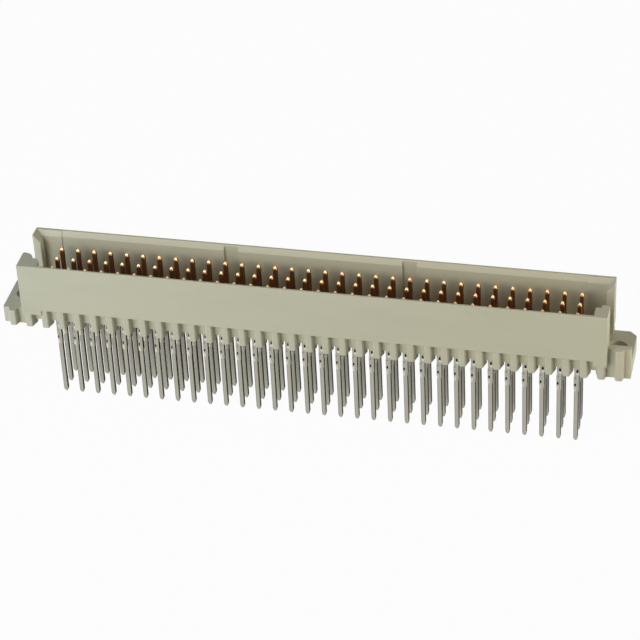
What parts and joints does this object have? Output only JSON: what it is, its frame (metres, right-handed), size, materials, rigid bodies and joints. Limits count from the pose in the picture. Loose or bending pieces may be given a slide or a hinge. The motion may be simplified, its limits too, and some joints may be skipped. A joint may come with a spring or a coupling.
{
  "type": "backplane connector",
  "caption": "Long shrouded backplane connector: rows of square pins in a moulded housing with ribbed feet, a screw ear at each end, and long press-fit tails below.",
  "frame": {"origin": "centre of the footprint, on the plane of the tail tips that the part stands on; the board seat lies 13.2 mm above it", "axes": "+X along the rows towards the ear with the raised front edge, +Y across the rows towards the wall with the polarising grooves, +Z out of the shroud, the way the mating part leaves"},
  "size_m": [0.0948, 0.0104, 0.0245],
  "materials": {
    "housing_plastic": "light grey moulded thermoplastic, satin",
    "contact_metal": "copper alloy, gold plated above the base and tin plated below it"
  },
  "bodies": {
    "root": {"housing": "housing_plastic", "contact_a01": "contact_metal", "contact_a02": "contact_metal", "contact_a03": "contact_metal", "contact_a04": "contact_metal", "contact_a05": "contact_metal", "contact_a06": "contact_metal", "contact_a07": "contact_metal", "contact_a08": "contact_metal", "contact_a09": "contact_metal", "contact_a10": "contact_metal", "contact_a11": "contact_metal", "contact_a12": "contact_metal", "contact_a13": "contact_metal", "contact_a14": "contact_metal", "contact_a15": "contact_metal", "contact_a16": "contact_metal", "contact_a17": "contact_metal", "contact_a18": "contact_metal", "contact_a19": "contact_metal", "contact_a20": "contact_metal", "contact_a21": "contact_metal", "contact_a22": "contact_metal", "contact_a23": "contact_metal", "contact_a24": "contact_metal", "contact_a25": "contact_metal", "contact_a26": "contact_metal", "contact_a27": "contact_metal", "contact_a28": "contact_metal", "contact_a29": "contact_metal", "contact_a30": "contact_metal", "contact_a31": "contact_metal", "contact_a32": "contact_metal", "contact_c01": "contact_metal", "contact_c02": "contact_metal", "contact_c03": "contact_metal", "contact_c04": "contact_metal", "contact_c05": "contact_metal", "contact_c06": "contact_metal", "contact_c07": "contact_metal", "contact_c08": "contact_metal", "contact_c09": "contact_metal", "contact_c10": "contact_metal", "contact_c11": "contact_metal", "contact_c12": "contact_metal", "contact_c13": "contact_metal", "contact_c14": "contact_metal", "contact_c15": "contact_metal", "contact_c16": "contact_metal", "contact_c17": "contact_metal", "contact_c18": "contact_metal", "contact_c19": "contact_metal", "contact_c20": "contact_metal", "contact_c21": "contact_metal", "contact_c22": "contact_metal", "contact_c23": "contact_metal", "contact_c24": "contact_metal", "contact_c25": "contact_metal", "contact_c26": "contact_metal", "contact_c27": "contact_metal"}
  },
  "joints": []
}
